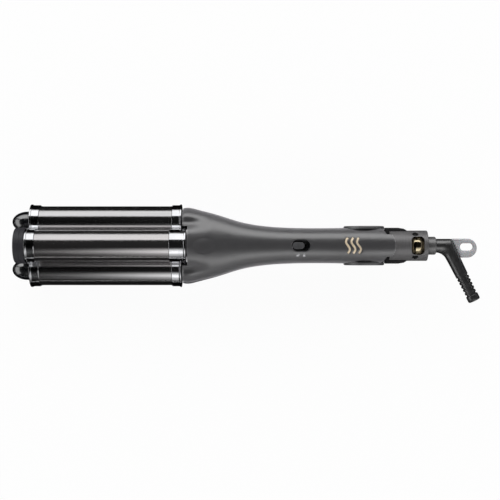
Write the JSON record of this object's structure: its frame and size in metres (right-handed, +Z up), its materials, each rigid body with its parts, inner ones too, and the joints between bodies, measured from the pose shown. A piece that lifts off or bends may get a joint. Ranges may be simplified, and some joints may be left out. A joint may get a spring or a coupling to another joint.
{
  "type": "hair waver",
  "caption": "Jaw-type hair waver with parallel heated barrels, slide lock, inner control buttons and a swivelling cord outlet.",
  "frame": {"origin": "on the rest surface under the jaw hinge axis, at the centre of the rest foot", "axes": "+X along the waver from the barrels towards the cord end, +Y across the barrels, +Z up from the rest surface"},
  "size_m": [0.3716, 0.0784, 0.0491],
  "materials": {
    "soft_touch_black": "soft-touch matte",
    "inner_plastic": "fine matte",
    "barrel_coating": "high-gloss ceramic coating",
    "cap_steel": "polished, slightly blue",
    "cool_tip_plastic": "satin blue-grey",
    "heater_ceramic": "ceramic",
    "spreader_aluminium": "extruded",
    "fastener_steel": "zinc plated",
    "spring_steel": "drawn wire",
    "latch_metal": "stamped",
    "gold_trim": "polished pale gold",
    "lock_gloss_black": "gloss",
    "hinge_black": "semi-gloss",
    "bush_bronze": "sintered",
    "collar_gunmetal": "satin gunmetal",
    "slip_ring_brass": "turned",
    "neck_grey": "satin",
    "boot_rubber": "satin elastomer",
    "loop_grey": "satin",
    "lead_sleeve": "silicone",
    "fuse_sleeve": "glass-fibre sleeve",
    "board_green": "solder mask",
    "part_black": "moulded",
    "window_smoke": "smoked, glossy",
    "button_grey": "satin",
    "foot_rubber": "matte"
  },
  "bodies": {
    "lower_arm": {"lower_cover": "soft_touch_black", "lower_inner_plate": "inner_plastic", "lower_cover_screws": "fastener_steel", "latch_catch": "fastener_steel", "control_board": "board_green", "board_parts": "part_black", "board_screws": "fastener_steel", "tact_switches": "part_black", "display_window": "window_smoke", "rear_hub": "hinge_black", "hub_screws": "fastener_steel", "hinge_pin": "fastener_steel", "hinge_disc_left": "hinge_black", "hinge_disc_right": "hinge_black", "return_spring": "spring_steel", "supply_leads": "lead_sleeve", "rest_foot": "foot_rubber", "swivel_collar": "collar_gunmetal", "collar_screws": "fastener_steel", "slip_contacts": "slip_ring_brass", "lower_barrel_left": "barrel_coating", "lower_front_cap_left": "cap_steel", "lower_rear_cap_left": "cap_steel", "lower_cool_tip_left": "cool_tip_plastic", "lower_neck_left": "inner_plastic", "lower_heater_left": "heater_ceramic", "lower_heat_spreader_left": "spreader_aluminium", "lower_barrel_right": "barrel_coating", "lower_front_cap_right": "cap_steel", "lower_rear_cap_right": "cap_steel", "lower_cool_tip_right": "cool_tip_plastic", "lower_neck_right": "inner_plastic", "lower_heater_right": "heater_ceramic", "lower_heat_spreader_right": "spreader_aluminium"},
    "upper_arm": {"upper_cover": "soft_touch_black", "upper_inner_plate": "inner_plastic", "upper_barrel": "barrel_coating", "upper_front_cap": "cap_steel", "upper_rear_collar": "cap_steel", "upper_cool_tip": "cool_tip_plastic", "upper_neck": "inner_plastic", "upper_heater": "heater_ceramic", "upper_heat_spreader": "spreader_aluminium", "upper_cover_screws": "fastener_steel", "upper_leads": "lead_sleeve", "thermal_fuse": "fuse_sleeve", "emblem": "gold_trim", "hinge_bushes": "bush_bronze", "lock_bezel": "lock_gloss_black", "detent_spring": "spring_steel"},
    "lock_slider": {"lock_knob": "lock_gloss_black", "latch_hook": "latch_metal"},
    "cord_swivel": {"slip_rings": "slip_ring_brass", "swivel_ball": "gold_trim", "swivel_neck": "neck_grey", "strain_relief": "boot_rubber", "hanging_loop": "loop_grey"},
    "power_button": {"power_button": "button_grey"},
    "plus_button": {"plus_button": "button_grey"},
    "minus_button": {"minus_button": "button_grey"}
  },
  "joints": [
    {"name": "jaw_hinge", "type": "hinge", "parent": "lower_arm", "child": "upper_arm", "pos_m": [0, 0, 0.0245], "axis": [0, 1, 0], "range_deg": [0, 16]},
    {"name": "lock_slide", "type": "slide", "parent": "upper_arm", "child": "lock_slider", "axis": [1, 0, 0], "range_m": [0, 0.0038]},
    {"name": "cord_swivel_turn", "type": "hinge", "parent": "lower_arm", "child": "cord_swivel", "pos_m": [0, 0, 0.0245], "axis": [1, 0, 0], "continuous": true},
    {"name": "power_press", "type": "slide", "parent": "lower_arm", "child": "power_button", "axis": [0, 0, -1], "range_m": [0, 0.0008], "stiffness_N_per_m": 400},
    {"name": "plus_press", "type": "slide", "parent": "lower_arm", "child": "plus_button", "axis": [0, 0, -1], "range_m": [0, 0.0008], "stiffness_N_per_m": 400},
    {"name": "minus_press", "type": "slide", "parent": "lower_arm", "child": "minus_button", "axis": [0, 0, -1], "range_m": [0, 0.0008], "stiffness_N_per_m": 400}
  ]
}
